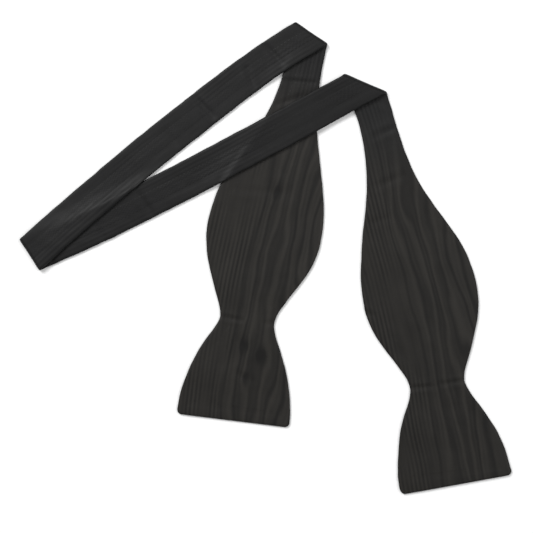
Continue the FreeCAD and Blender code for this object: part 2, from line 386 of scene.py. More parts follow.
# %% [markdown]
# ## Small shapes in the cloth
#
# The real tie carries marks of its making and folding: short creases where it was bent, slight
# hollows between, a wavering edge where the seam pulls.  Creases are written one by one as lines on
# the table, because they sit at known places.  The unevenness is a few sine waves with fixed phases,
# which a simulation would only give at the cost of not knowing where it puts them.

# %% Creases pressed into the cloth
CREASES = {
    # stretch: (x1, y1, x2, y2, width, depth)
    "left_blade": [
        (11, 105.8, 30, 104.4, 1.1, 0.42), (8, 91.5, 26, 97.5, 1.2, 0.34),
        (12, 99.5, 24, 100.5, 2.0, -0.2), (-24.6, -33.2, -12.5, -35.4, 0.9, 0.32),
        (1, -37.3, 7.5, -36.6, 1.2, 0.2), (-20, 41.5, 4, 40.5, 1.5, 0.1),
        (5, 41, 13, 39, 2.8, 0.28), (-14, -48, -10, -53, 2.2, 0.18),
        (-16, -66.5, -6, -71.5, 1.4, 0.18),
    ],
    "left_band": [
        (1.5, 126.6, 10.8, 116.2, 1.2, 0.42), (-9.8, 112.8, -5.4, 102.9, 1.2, 0.42),
        (-40.4, 96.4, -29.4, 84.8, 1.3, 0.46), (-57, 76, -51, 68.5, 1.8, 0.2),
        (-84, 62, -75, 50, 2.2, 0.14), (-117, 30, -105, 20, 2.2, 0.12),
        (15, 131, 22, 122, 2.4, 0.14),
    ],
    "right_band": [
        (-74.5, 41, -65.6, 27.0, 1.5, 0.34), (-98, 20, -93, 11, 1.8, 0.2),
        (-52, 51, -46, 43, 2.2, 0.12), (18, 87, 28, 77, 3.0, 0.1),
    ],
    "right_blade": [
        (65.4, 94.6, 75.5, 90.6, 1.3, 0.34), (64.6, 72.2, 80, 79.2, 1.5, 0.4),
        (66.5, 43.2, 82.5, 50.0, 1.6, 0.34), (62.5, 21.5, 74, 25, 1.8, 0.22),
        (57, -29.5, 65, -32.5, 1.2, 0.26), (84.5, -75.6, 99, -74.3, 0.95, 0.42),
        (106, -72.9, 120, -70.6, 0.95, 0.42), (98, -74.4, 107, -72.8, 1.5, 0.14),
        (92, 5, 99, -9, 4.5, 0.16), (84, -40, 90, -50, 4.0, 0.12),
    ],
}


def crease_depth(name, plan):
    """How far the stretch's creases press the cloth down at points on the table."""
    depth = np.zeros(plan.shape[:-1])
    for x1, y1, x2, y2, width, deep in CREASES[name]:
        a, b = np.array([x1, y1]), np.array([x2, y2])
        t = np.clip((plan - a) @ (b - a) / ((b - a) @ (b - a)), 0, 1)
        away = np.linalg.norm(plan - a - t[..., None] * (b - a), axis=-1)
        wobble = 0.5 * np.sin(t * 5 + x1)
        groove = np.exp(-(((away + 0.3 * wobble) / width) ** 2))
        ridge = 0.35 * np.exp(-(((away - 2.6 * width) / width) ** 2))
        depth += deep * (groove - ridge) * (0.45 + 0.55 * np.sin(math.pi * np.clip(t, 0.08, 0.92)))
    return depth


print(sum(map(len, CREASES.values())), "creases")


# %% Unevenness
def waves(count, long_wave, short_wave, seed):
    """A sum of sine waves over the plane, about one in height, with phases set by the seed."""
    pick = np.random.default_rng(seed)
    turn = pick.uniform(0, math.pi, count)
    number = 2 * math.pi / np.geomspace(long_wave, short_wave, count)
    phase = pick.uniform(0, 2 * math.pi, count)

    def at(x, y):
        total = sum(
            np.sin(k * (x * math.cos(a) + y * math.sin(a)) + p) * (short_wave * k) ** -0.4
            for a, k, p in zip(turn, number, phase)
        )
        return total / math.sqrt(count)

    return at


HOLLOWS = waves(9, 95, 16, 3)
HOLLOW_DEPTH = 0.17
CRINKLE = waves(12, 14, 4.5, 5)
CRINKLE_DEPTH = 0.035
EDGE_WANDER = waves(7, 60, 9, 11)
WANDER = 0.16

# %% [markdown]
# ## Laying one stretch over another
#
# Cloth that is laid over other cloth rises before it gets there and comes down after, because it
# doesn't bend sharply.  So the height it needs is read off the pieces already laid, spread out by
# about a centimetre along the stretch, and smoothed.  That is a rule with two lengths in it; a cloth
# simulation would reach nearly the same shape, more slowly and with its own noise.


# %% Smoothing along a stretch
def smooth_along(values, rows, spread):
    """Gaussian smoothing down the columns, by real distance, level beyond the ends."""
    weight = np.exp(-0.5 * ((rows[:, None] - rows[None, :]) / spread) ** 2)
    gap = np.gradient(rows)
    weight *= np.maximum(gap, 1e-3)[None, :]
    return (weight / weight.sum(1, keepdims=True)) @ values


def spread_along(values, rows, reach):
    """The highest value within reach of each row."""
    near = np.abs(rows[:, None] - rows[None, :]) <= reach
    return np.stack([np.where(near, column[None, :], -1e9).max(1) for column in values.T], 1)


# %% The height of a stretch
LEVEL_COLUMNS = np.linspace(1, -1, 15)
LAYER_GAP = 0.12
REACH = 9.5
BLADE_SPREAD, BAND_SPREAD = 5.2, 8.0
HELD_BY_FOLD, LEVEL_AT_FOLD, RISE_FROM_FOLD = 6, 3.5, 16


class Level:
    """The height of a stretch's middle surface over its own rows and columns."""

    def __init__(self, stretch, obstacles):
        self.stretch, self.rows = stretch, np.linspace(-8, stretch.length + 8, 220)
        along = self.rows[:, None].repeat(len(LEVEL_COLUMNS), 1)
        across = LEVEL_COLUMNS * stretch.half_width(along)
        need = self.needed(along, across, obstacles)
        for level, distance in self.folds():
            need = np.where((distance < HELD_BY_FOLD)[:, None], level, need)
        narrow = stretch.half_width(stretch.length / 2) < 15
        spread = BAND_SPREAD if narrow else BLADE_SPREAD
        height = smooth_along(spread_along(need, self.rows, REACH), self.rows, spread)
        height = np.maximum(height, smooth_along(need, self.rows, 0.8))
        height = smooth_along(height, self.rows, 1.6)
        if narrow:
            # A narrow band is too stiff to twist much, so its two edges lie nearly level.
            height = 0.45 * height + 0.55 * height.mean(1, keepdims=True)
            height = np.maximum(height, need - 0.05)
            height = smooth_along(height, self.rows, 1.2)
        for level, distance in self.folds():
            share = eased((distance - LEVEL_AT_FOLD) / RISE_FROM_FOLD)[:, None]
            height = level + (height - level) * share
        self.height = height
        self.support = need - TABLE

    def folds(self):
        """(the level that a fold asks for, each row's distance in from it) for each fold."""
        for crease, layer, at in folds_of(self.stretch):
            level = TABLE + (2 * crease.radius if layer > 0 else 0)
            yield level, (self.rows if at == 0 else at - self.rows)

    def needed(self, along, across, obstacles):
        point, left = self.stretch.line(along)
        plan = point + left * across[..., None]
        need = np.full(along.shape, TABLE)
        for tree in obstacles:
            for index in np.ndindex(along.shape):
                x, y = plan[index]
                hit = tree.ray_cast(Vector((x, y, 50)), Vector((0, 0, -1)))[0]
                if hit is not None:
                    need[index] = max(need[index], hit.z + TABLE + LAYER_GAP)
        return need

    def at(self, along, across, grid=None):
        """Height at any point: across between columns, then along between rows."""
        share = np.clip(across / self.stretch.half_width(along), -1, 1)
        column = (1 - share) / 2 * (len(LEVEL_COLUMNS) - 1)
        row = np.interp(along, self.rows, np.arange(len(self.rows)))
        r = np.clip(row.astype(int), 0, len(self.rows) - 2)
        c = np.clip(column.astype(int), 0, len(LEVEL_COLUMNS) - 2)
        fr, fc, h = row - r, column - c, self.height if grid is None else grid
        low = h[r, c] * (1 - fc) + h[r, c + 1] * fc
        high = h[r + 1, c] * (1 - fc) + h[r + 1, c + 1] * fc
        return low * (1 - fr) + high * fr


# %% [markdown]
# ## The fold, as a rule
#
# A flat fold rolls the cloth half-way round an axis.  Whatever lies past the axis is wound round it,
# each layer at its own distance from it, so the outer silk takes a longer way than the inner, as in
# a real fold.  Geometry Nodes does it, because it is one rule for every point of every layer.  A bend
# modifier would also stretch the cloth that is not in the fold.


# %% One function that adds a node
def add(tree, kind, *inputs, out=0, **settings):
    """Adds a node and gives back one of its outputs, or the node itself if out is None.  kind is the
    node's type without its family, as in "TexNoise", with its operation after a colon, as in
    "Math:ADD".  inputs are values, or other nodes' outputs, for its sockets in order or by name."""
    kind, _, operation = kind.partition(":")
    families = ("ShaderNode", "GeometryNode", "FunctionNode", "Node")
    node = tree.nodes.new(next(f + kind for f in families if hasattr(bpy.types, f + kind)))
    for name, value in (settings | ({"operation": operation} if operation else {})).items():
        setattr(node, name, value)
    for i, given in enumerate(inputs):
        for key, value in given.items() if isinstance(given, dict) else [(i, given)]:
            if isinstance(value, bpy.types.NodeSocket):
                tree.links.new(value, node.inputs[key])
            else:
                node.inputs[key].default_value = value
    return node if out is None else node.outputs[out]


# %% How a tree begins and ends
def new_tree(name, sockets):
    """A Geometry Nodes tree with named inputs: (name, type, default), and a material."""
    tree = bpy.data.node_groups.new(name, "GeometryNodeTree")
    tree.interface.new_socket(name="Geometry", in_out="OUTPUT", socket_type="NodeSocketGeometry")
    for label, kind, default in [("Geometry", "Geometry", None), *sockets, ("Material", "Material", None)]:
        socket = tree.interface.new_socket(name=label, in_out="INPUT", socket_type="NodeSocket" + kind)
        if default is not None:
            socket.default_value = default
    return tree, add(tree, "GroupInput", out=None).outputs


def close_tree(tree, geometry, material):
    """The end of every tree: real geometry, with the piece's own material on it."""
    real = add(tree, "RealizeInstances", geometry)
    painted = add(tree, "SetMaterial", {"Geometry": real, "Material": material})
    add(tree, "GroupOutput", painted, out=None)
    for i, node in enumerate(tree.nodes):
        node.location = (i % 8 * 190, -(i // 8) * 190)
    print(tree.name + ":", len(tree.nodes), "nodes")
    return tree


# %% The fold's tree
def fold_tree():
    sockets = [("Axis Point", "Vector", (0, 0, 0)), ("Outward", "Vector", (1, 0, 0))]
    sockets += [("Radius", "Float", 0.001), ("Layer", "Float", 1.0)]
    tree, given = new_tree("Fold over an axis", sockets)
    place = add(tree, "VectorMath:SUBTRACT", add(tree, "InputPosition"), given["Axis Point"])
    beyond = add(tree, "VectorMath:DOT_PRODUCT", place, given["Outward"], out="Value")
    rise = add(tree, "SeparateXYZ", place, out="Z")
    from_axis = add(tree, "Math:MULTIPLY", rise, given["Layer"])
    turn = add(tree, "Math:DIVIDE", beyond, given["Radius"])
    out = add(tree, "Math:MULTIPLY", from_axis, add(tree, "Math:SINE", turn))
    up = add(tree, "Math:MULTIPLY", from_axis, add(tree, "Math:COSINE", turn))
    up = add(tree, "Math:MULTIPLY", up, given["Layer"])
    outward = {"Scale": add(tree, "Math:SUBTRACT", out, beyond)}
    move_out = add(tree, "VectorMath:SCALE", given["Outward"], outward)
    move_up = add(tree, "CombineXYZ", {"Z": add(tree, "Math:SUBTRACT", up, rise)})
    wound = {
        "Geometry": given["Geometry"],
        "Selection": add(tree, "Math:GREATER_THAN", beyond, 0.0),
        "Offset": add(tree, "VectorMath:ADD", move_out, move_up),
    }
    return close_tree(tree, add(tree, "SetPosition", wound), given["Material"])


FOLD_TREE = fold_tree()


# %% A tree's inputs, its result, and a new object
def set_input(modifier, name, value):
    """Sets a tree's input by its socket's identifier."""
    for item in modifier.node_group.interface.items_tree:
        if item.item_type == "SOCKET" and item.in_out == "INPUT" and item.name == name:
            modifier[item.identifier] = value.tolist() if isinstance(value, np.ndarray) else value


def evaluated(obj):
    """The object's mesh with its modifiers worked out, as a plain mesh."""
    obj.update_tag()
    bpy.context.view_layer.update()
    return bpy.data.meshes.new_from_object(obj.evaluated_get(bpy.context.evaluated_depsgraph_get()))


def new_object(name, data):
    obj = bpy.data.objects.new(name, data)
    bpy.context.scene.collection.objects.link(obj)
    return obj


# %% [markdown]
# ## Making the stretches
#
# Every surface of a stretch, outside and inside of both panels and both faces of the interlining, is
# laid out flat on the table at its level, then folded.  They go through the tree together as one
# cloud of points, and come back in the same order, so rows and columns are kept.

# %% The interlining, and the inside of the silk
UPRIGHT = {"front": 1, "back": -1}
LINING_INSET, LINING_HALF, LINING_COLUMNS = 5.6, 0.60, 11


def interlining_grid(rows, half_width, tip, top):
    """The lining's own grid: set in from the turned allowance, straight-sided."""
    share = np.linspace(1, -1, LINING_COLUMNS)
    along = rows[:, None].repeat(LINING_COLUMNS, 1)
    width = half_width(along) - LINING_INSET
    if tip:
        along = np.maximum(along, LINING_INSET)
    return along, width * share, np.full(along.shape, LINING_HALF if top else -LINING_HALF)


def staggered(stretch, along, across):
    """Moves the inside's points half a step from the outside's, in the flat of the cloth.  Dark
    specks show there while the points stand exactly one over the other."""
    flat = stretch.half_width(along) - RINGS[-1, 0]
    column = flat / (ACROSS + 1)
    across = across + column * np.clip((1 - np.abs(across) / flat) / 0.15, 0, 1)
    near = np.clip((np.minimum(along, stretch.length - along) - 8) / 10, 0, 1)
    return along + 0.06 + ROW_STEP / 2 * near, across


# %% Every surface of a stretch
def surfaces(stretch):
    """{name: (along, across, height over the middle)} for a stretch, in the tie's own order."""
    rows = stretch_rows(stretch)
    tip = stretch in (left_blade, right_blade)
    backwards = stretch is right_blade
    from_start = stretch.length - rows[::-1] if backwards else rows
    half_width = HALF_WIDTH if tip else stretch.half_width
    made = {}
    for panel, up in UPRIGHT.items():
        for side, rings in (("outside", RINGS), ("inside", INNER)):
            along, across, height = section_grid(from_start, tip, rings, half_width)
            made[f"{panel} {side}"] = along, across, up * height
    plain = from_start
    if tip:
        flat_start = even_rows(LINING_INSET, from_start[EDGE])
        plain = np.concatenate([[LINING_INSET], flat_start, from_start[EDGE:]])
    for side in ("top", "bottom"):
        made["interlining " + side] = interlining_grid(plain, half_width, tip, side == "top")
    if backwards:
        made = {k: (stretch.length - a[::-1], b[::-1], c[::-1]) for k, (a, b, c) in made.items()}
    for panel in UPRIGHT:
        along, across, height = made[panel + " inside"]
        made[panel + " inside"] = *staggered(stretch, along, across), height
    return made


# %% A surface on the table
def on_table(stretch, level, along, across, height):
    """Points in the frame, laid flat at the stretch's level, with its creases and unevenness."""
    across = across * stretch.face
    edge = np.clip(1 - (stretch.half_width(along) - np.abs(across)) / 3.0, 0, 1) * np.sign(across)
    tie_along = stretch.tie_start + along
    across = across + edge * WANDER * EDGE_WANDER(tie_along, edge * 40)
    along = sheared(stretch, along, across)
    point, left = stretch.line(along)
    plan = point + left * across[..., None]
    z = level.at(along, across)
    fold_near = np.zeros_like(along)
    for crease, *_ in folds_of(stretch):
        past = (plan - crease.axis[:2]) @ -crease.inward
        fold_near = np.maximum(fold_near, np.clip(1 + (past + 1.5) / 9, 0, 1))
    x, y = plan[..., 0], plan[..., 1]
    relief = HOLLOW_DEPTH * HOLLOWS(x, y) + CRINKLE_DEPTH * CRINKLE(x, y)
    if stretch is right_band:
        # The centre back seam pulls the cloth in.
        height = height * (1 - 0.3 * np.exp(-(((along - CENTRE_SEAM) / 0.6) ** 2)))
    z = z + (1 - fold_near) * (relief - crease_depth(stretch.name, plan))
    z = z + stretch.face * height * (1 + 0.03 * CRINKLE(tie_along * 0.5, across * 2))
    # The cloth may press together to 0.6 of its thickness, but not into what it lies on.
    lowest = level.at(along, across, level.support) + 0.03 + 0.6 * (1 + stretch.face * height)
    return np.concatenate([plan, np.maximum(z, lowest)[..., None]], -1)


# %% Winding it round its creases
def fold_points(stretch, points):
    """Winds whatever lies past a stretch's creases round their axes, with the tree."""
    mesh = bpy.data.meshes.new("flat_points")
    mesh.vertices.add(len(points))
    mesh.vertices.foreach_set("co", (points * MM).ravel())
    obj = new_object("flat_points", mesh)
    for crease, layer, _ in folds_of(stretch):
        modifier = obj.modifiers.new("Fold", "NODES")
        modifier.node_group = FOLD_TREE
        set_input(modifier, "Axis Point", crease.axis * MM)
        set_input(modifier, "Outward", np.append(-crease.inward, 0))
        set_input(modifier, "Radius", crease.radius * MM)
        set_input(modifier, "Layer", float(layer))
    folded = evaluated(obj)
    co = np.empty(len(points) * 3)
    folded.vertices.foreach_get("co", co)
    bpy.data.objects.remove(obj)
    return co.reshape(-1, 3) / MM


def grid_faces(n, k):
    """The point numbers of a grid of n rows and k columns, and its four-sided faces."""
    index = np.arange(n * k).reshape(n, k)
    corners = index[:-1, :-1], index[:-1, 1:], index[1:, 1:], index[1:, :-1]
    return index, np.stack(corners, -1).reshape(-1, 4)


def tree_of(points):
    """A search tree of a surface's grid of points, for laying the next stretch on it."""
    faces = grid_faces(*points.shape[:2])[1]
    return BVHTree.FromPolygons(points.reshape(-1, 3).tolist(), faces.tolist())


# %% The four stretches, the lowest first
laid, cloth = {}, {}
obstacles = []
# The cloth taken up by each fold, which its straight lines leave out.
slack = np.cumsum([0, *(2 * QUARTER * crease.radius for crease in (left_fold, centre_fold, right_fold))])
taken = dict(zip(("left_blade", "left_band", "right_band", "right_blade"), slack))
for stretch in (left_blade, right_blade, right_band, left_band):
    level = Level(stretch, obstacles)
    shapes = surfaces(stretch)
    flat = {name: on_table(stretch, level, *grid) for name, grid in shapes.items()}
    folded = fold_points(stretch, np.concatenate([f.reshape(-1, 3) for f in flat.values()]))
    ends = np.cumsum([f.shape[0] * f.shape[1] for f in flat.values()])[:-1]
    parts = np.split(folded, ends)
    laid[stretch.name] = {k: p.reshape(flat[k].shape) for k, p in zip(flat, parts)}
    cloth[stretch.name] = {
        k: np.stack([across, stretch.tie_start + taken[stretch.name] + along], -1)
        for k, (along, across, _) in shapes.items()
    }
    obstacles += [tree_of(laid[stretch.name][f"{panel} outside"]) for panel in UPRIGHT]
    top = max(p[..., 2].max() for p in laid[stretch.name].values())
    print(stretch.name, len(flat["front outside"]), "rows, highest point", round(top, 2), "mm")

# %% [markdown]
# ## Joining the stretches into one cloth
#
# Where two stretches meet, half-way round a fold, their rows are brought together and the small
# difference is shared out over the rows beside them.  Then the panels are cut into the pieces of the
# assembly.  Shading normals are worked out on the whole cloth first, so a cut doesn't show.

# %% Sharing out the gap at a fold
ORDER = [left_blade, left_band, right_band, right_blade]
NAMES = list(laid["left_blade"])
SHARED_ROWS = 12


def share_out(before, after):
    """Brings the last row of one grid and the first row of the next together."""
    gap = after[0] - before[-1]
    for i in range(SHARED_ROWS):
        weight = 0.5 * (1 - i / SHARED_ROWS)
        before[-1 - i] += gap * weight
        after[i] -= gap * weight
    return np.linalg.norm(gap, axis=-1).max()


whole, pattern, first_row = {}, {}, {}
for name in NAMES:
    gaps = [share_out(laid[a.name][name], laid[b.name][name]) for a, b in zip(ORDER, ORDER[1:])]
    whole[name] = np.concatenate([laid[s.name][name][0 if s is left_blade else 1 :] for s in ORDER])
    pattern[name] = np.concatenate([cloth[s.name][name][0 if s is left_blade else 1 :] for s in ORDER])
    starts, total = {}, 0
    for s in ORDER:
        starts[s.name] = total if s is left_blade else total - 1
        total = starts[s.name] + len(laid[s.name][name])
    first_row[name] = starts
    print(name, whole[name].shape[:2], "greatest gap at a fold", max(gaps).round(2), "mm")


# %% Shading normals
def normals_of(points):
    """Unit normals of a grid, towards +Z where the front face is up."""
    by_row, by_column = np.gradient(points, axis=0), np.gradient(points, axis=1)
    normal = np.cross(by_column, by_row)
    return normal / np.maximum(np.linalg.norm(normal, axis=-1, keepdims=True), 1e-12)


normals = {name: normals_of(points) for name, points in whole.items()}
# Each point is then moved up or down by a hair, far too little to see.  It leaves fewer dark
# specks in the level cloth.
HAIR = 0.006
for points in whole.values():
    row, column = np.indices(points.shape[:2])
    points[..., 2] += HAIR * (-1.0) ** (row + column)
print("normals of", sum(points[..., 0].size for points in whole.values()), "points")


# %% A closed piece between two surfaces
def shell(name, upper, lower, rows):
    """A closed piece between two grids of points, over a range of rows.  upper is the grid on the
    side that the tie's front looks to."""
    low, high = rows
    a, b = whole[upper][low:high], whole[lower][low:high]
    index, quads = grid_faces(*a.shape[:2])
    rim = np.concatenate([index[0, :], index[1:, -1], index[-1, -2::-1], index[-2:0:-1, 0], index[:1, 0]])
    under = index.size
    walls = np.stack([rim[1:], rim[:-1], rim[:-1] + under, rim[1:] + under], -1)
    faces = np.concatenate([quads, quads[:, ::-1] + under, walls])
    points = np.concatenate([a.reshape(-1, 3), b.reshape(-1, 3)]) * MM
    mesh = bpy.data.meshes.new(name)
    mesh.from_pydata(points.tolist(), [], faces.tolist())
    mesh.shade_smooth()
    out = [normals[upper][low:high].reshape(-1, 3), -normals[lower][low:high].reshape(-1, 3)]
    mesh.normals_split_custom_set_from_vertices(np.concatenate(out).tolist())
    flat = np.concatenate([pattern[g][low:high].reshape(-1, 2) for g in (upper, lower)]) * MM
    loops = np.empty(len(mesh.loops), np.int32)
    mesh.loops.foreach_get("vertex_index", loops)
    uv = mesh.uv_layers.new(name="Cut")
    uv.data.foreach_set("uv", flat[loops].astype(np.float32).ravel())
    return new_object(name, mesh)


# %% [markdown]
# ## Materials
#
# Everything here is cloth or thread, dyed black.  Each material is a Principled shader whose pattern
# is worked out in real millimetres.  Picture textures would be quicker, but a rule can be read and
# changed, and has no seams.


# %% Colours and shaders
def dye(code):
    """A linear colour from an sRGB hex code."""
    values = [int(code[i : i + 2], 16) / 255 for i in (1, 3, 5)]
    return [v / 12.92 if v <= 0.04045 else ((v + 0.055) / 1.055) ** 2.4 for v in values] + [1.0]


def new_material(name):
    material = bpy.data.materials.new(name)
    material.use_nodes = True
    material.node_tree.nodes.clear()
    return material, material.node_tree


def finish_material(material, tree, settings):
    add(tree, "OutputMaterial", add(tree, "BsdfPrincipled", settings), out=None)
    for i, node in enumerate(tree.nodes):
        node.location = (i % 9 * 190, -(i // 9) * 260)
    print(material.name + ":", len(tree.nodes), "nodes")
    return material


# %% Patterns measured in millimetres
def noise(tree, across, along, wide, long, detail=2.0, seed=0.0):
    """Noise with cells so many millimetres wide and long, from -1 to 1."""
    x, y = add(tree, "Math:DIVIDE", across, wide), add(tree, "Math:DIVIDE", along, long)
    place = add(tree, "CombineXYZ", x, y, seed)
    value = add(tree, "TexNoise", {"Vector": place, "Scale": 1.0, "Detail": detail})
    return add(tree, "Math:MULTIPLY_ADD", value, 2.0, -1.0)


def lines(tree, across, pitch):
    """A row of soft lines across the cloth, from -1 to 1."""
    return add(tree, "Math:SINE", add(tree, "Math:MULTIPLY", across, 2 * math.pi / pitch))


# %% [markdown]
# ## Watered silk
#
# Watered silk is a ribbed silk pressed between rollers, so that its ribs are crushed in wavy lines
# and the crushed places shine a little more.  The lines are drawn from the cloth's own coordinates,
# in millimetres along and across the cut, so they turn with the cloth at each fold.  Wave texture
# nodes could draw them too, but sines of a bent coordinate let the same bend serve every line.


# %% The mark's lines round a knot
KNOT_WIDE, KNOT_LONG = 2.8, 4.2


def round_knots(tree, across, along, moved, knots):
    """The lines' coordinate parted round each knot, and how much of a knot there is."""
    spots = 0.0
    for x, y in knots:
        dx = add(tree, "Math:MULTIPLY_ADD", across, 1 / KNOT_WIDE, -x / KNOT_WIDE)
        dy = add(tree, "Math:MULTIPLY_ADD", along, 1 / KNOT_LONG, -y / KNOT_LONG)
        far = add(tree, "Math:MULTIPLY_ADD", dx, dx, add(tree, "Math:MULTIPLY", dy, dy))
        spot = add(tree, "Math:EXPONENT", add(tree, "Math:MULTIPLY", far, -1.0))
        moved = add(tree, "Math:MULTIPLY_ADD", add(tree, "Math:MULTIPLY", spot, dx), -2.6, moved)
        spots = add(tree, "Math:ADD", spots, spot)
    return moved, spots


# %% The water mark
def water_mark(tree, across, along, grain, ripple, calm, seed, knots):
    """The mark's lines and clouds, about -1 to 1: fine ribs where calm is 1, wood grain where 0."""
    bend = add(tree, "Math:MULTIPLY_ADD", calm, -4.6, 5.4)
    moved = add(tree, "Math:MULTIPLY_ADD", grain, bend, across)
    moved = add(tree, "Math:MULTIPLY_ADD", ripple, add(tree, "Math:MULTIPLY_ADD", calm, -0.9, 1.0), moved)
    moved, spots = round_knots(tree, across, along, moved, knots)
    patch = noise(tree, across, along, 15.0, 60.0, 1.0, seed + 8)
    patch = add(tree, "MapRange", patch, -0.25, 0.3, interpolation_type="SMOOTHSTEP")
    fine = lines(tree, moved, 2.4)
    fine = add(tree, "Math:MULTIPLY", fine, add(tree, "Math:MULTIPLY_ADD", calm, 0.75, 0.25))
    fine = add(tree, "Math:MULTIPLY", fine, patch)
    grown = add(tree, "Math:MULTIPLY_ADD", grain, 7.0, moved)
    broad = add(tree, "Math:MULTIPLY_ADD", lines(tree, grown, 3.4), 0.55, lines(tree, grown, 7.5))
    broad = add(tree, "Math:MULTIPLY", broad, add(tree, "Math:MULTIPLY_ADD", calm, -0.8, 1.0))
    cloud = noise(tree, across, along, 12.0, 26.0, 3.0, seed + 12)
    mark = add(tree, "Math:MULTIPLY_ADD", broad, 0.32, add(tree, "Math:MULTIPLY", fine, 0.42))
    mark = add(tree, "Math:MULTIPLY_ADD", cloud, 0.38, mark)
    return add(tree, "Math:MULTIPLY_ADD", spots, -0.75, mark)


# %% The silk itself
def watered_silk(name, blade, band, seed, knots=()):
    """blade and band are each a dark and a light colour of the mark, band's darker and cooler as painted
    shade; knots are (across, along).
    """
    material, tree = new_material(name)
    cut = add(tree, "UVMap", uv_map="Cut")
    across = add(tree, "Math:MULTIPLY", add(tree, "SeparateXYZ", cut, out="X"), 1 / MM)
    along = add(tree, "Math:MULTIPLY", add(tree, "SeparateXYZ", cut, out="Y"), 1 / MM)
    grain = noise(tree, across, along, 26.0, 90.0, 2.0, seed)
    ripple = noise(tree, across, along, 9.0, 22.0, 2.0, seed + 4)
    # 0 on the bands and 1 on the blades, by the distance from the middle of the tie.
    from_middle = add(tree, "Math:ABSOLUTE", add(tree, "Math:SUBTRACT", along, TIE_LENGTH / 2))
    tone = add(tree, "MapRange", from_middle, 232.0, 282.0, interpolation_type="SMOOTHSTEP")
    # The ribs are calm on one side of the cut and on the bands.
    side = add(tree, "Math:MULTIPLY_ADD", grain, 9.0, across)
    side = add(tree, "MapRange", side, 2.0, 12.0, interpolation_type="SMOOTHSTEP")
    calm = add(tree, "Math:MAXIMUM", side, add(tree, "Math:SUBTRACT", 1.0, tone))
    mark = water_mark(tree, across, along, grain, ripple, calm, seed, knots)
    amount = add(tree, "MapRange", mark, -0.9, 0.9, interpolation_type="SMOOTHSTEP")
    # The narrow bands lie across the light, so their colours are painted shade: their ribs show cooler and
    # darker than the blades'.
    colour = {"out": 2, "data_type": "RGBA"}
    shades = [add(tree, "Mix", {0: tone, 6: dye(a), 7: dye(b)}, **colour) for a, b in zip(band, blade)]
    shade = add(tree, "Mix", {0: amount, 6: shades[0], 7: shades[1]}, **colour)
    # The ribs themselves, half a millimetre apart, and the weave's own unevenness.
    ribs = lines(tree, add(tree, "Math:MULTIPLY_ADD", ripple, 0.3, across), 0.55)
    slub = noise(tree, across, along, 0.5, 3.5, 2.0, seed + 16)
    height = add(tree, "Math:MULTIPLY_ADD", ribs, 0.010, add(tree, "Math:MULTIPLY", slub, 0.012))
    height = add(tree, "Math:MULTIPLY_ADD", mark, 0.05, height)
    settings = {
        "Base Color": shade,
        "Roughness": add(tree, "Math:MULTIPLY_ADD", amount, -0.10, 0.56),
        "Normal": add(tree, "Bump", {"Height": height, "Distance": MM, "Strength": 0.55}),
    }
    settings |= {"IOR": 1.54, "Specular IOR Level": 0.15, "Sheen Weight": 0.03, "Sheen Roughness": 0.45}
    return finish_material(material, tree, settings)


# %% Interlining and thread
def plain_cloth(name, code, weave, roughness):
    """Matte cloth or thread with a simple weave, weave in millimetres."""
    material, tree = new_material(name)
    place = add(tree, "TexCoord", out="Object")
    wave = add(tree, "TexNoise", {"Vector": place, "Scale": 1 / (weave * MM), "Detail": 2.0})
    bump = add(tree, "Bump", {"Height": wave, "Distance": 0.15 * MM, "Strength": 0.5})
    settings = {"Base Color": dye(code), "Roughness": roughness, "Normal": bump}
    return finish_material(material, tree, settings | {"IOR": 1.5, "Sheen Weight": 0.1})


# %% The tie's four materials
# Watered silk, woven and pressed: near black, with a low sheen that follows the crushed ribs.
# The band colours are darker and cooler than the blade colours: painted shade, for the bands lying across
# the light.
FRONT_BLADE, FRONT_BAND_SHADED = ("#0a0908", "#272522"), ("#060607", "#151515")
KNOTS = [(-2.0, 136.6), (-0.5, 43.9), (-10.9, 40.1), (-5.0, 25.1)]
FRONT_SILK = watered_silk("black_watered_silk_front", FRONT_BLADE, FRONT_BAND_SHADED, 0.0, KNOTS)
# The back panels are another length of it, with its own pattern; the light colour of its blades is a little
# darker, painted shade for the less light it catches there.
BACK_BLADE_SHADED, BACK_BAND_SHADED = ("#0a0908", "#252320"), ("#09090a", "#191919")
BACK_SILK = watered_silk("black_watered_silk_back", BACK_BLADE_SHADED, BACK_BAND_SHADED, 31.0)
# Interlining, woven and brushed: soft and matt, with no highlight.
CANVAS = plain_cloth("black_brushed_interlining", "#1d1c1b", 0.9, 0.9)
# Spun polyester thread: fine and even, a little smoother than the interlining.
THREAD = plain_cloth("black_polyester_thread", "#141414", 0.25, 0.6)

# %% [markdown]
# ## The pieces
#
# Each panel is one length of silk on each half of the real tie.  It is cut here where the CAD model
# has its bodies: a blade, the roll of a fold, a stretch of band.  The roll pieces join two of them,
# from the top of the lower layer to the underside of the upper one, and stay fixed where they lie.

# %% Where the cloth is cut
seam_row = int(np.argmin(np.abs(stretch_rows(right_band) - CENTRE_SEAM)))
SEAM_ROW = {name: first_row[name]["right_band"] + seam_row for name in NAMES}


def cut_rows(name):
    """{piece: (first row, one past the last row)} of a surface.  A fold's piece takes its roll and
    three flat rows on each side of it."""
    start, end = first_row[name], len(whole[name])
    roll = ROLL_ROWS + 2
    a, b, c = start["left_band"], start["right_band"], start["right_blade"]
    seam = SEAM_ROW[name]
    return {
        "left_blade": (0, a - roll + 1),
        "left_fold": (a - roll, a + roll + 1),
        "left_band": (a + roll, b - roll + 1),
        "centre_fold": (b - roll, b + roll + 1),
        "left_band_end": (b + roll, seam + 1),
        "right_band": (seam, c - roll + 1),
        "right_fold": (c - roll, c + roll + 1),
        "right_blade": (c + roll, end),
    }


# %% Bodies, and which piece rides which
BODY = {"left_blade": "left_blade", "left_band": "left_band", "left_band_end": "right_band"}
BODY |= {"right_band": "right_band", "right_blade": "right_blade"}


def hang_on(obj, part):
    """Puts a piece on its body; a fold's piece stays fixed in the frame, on no body."""
    if part in BODY:
        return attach(obj, BODY[part])
    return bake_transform(obj)


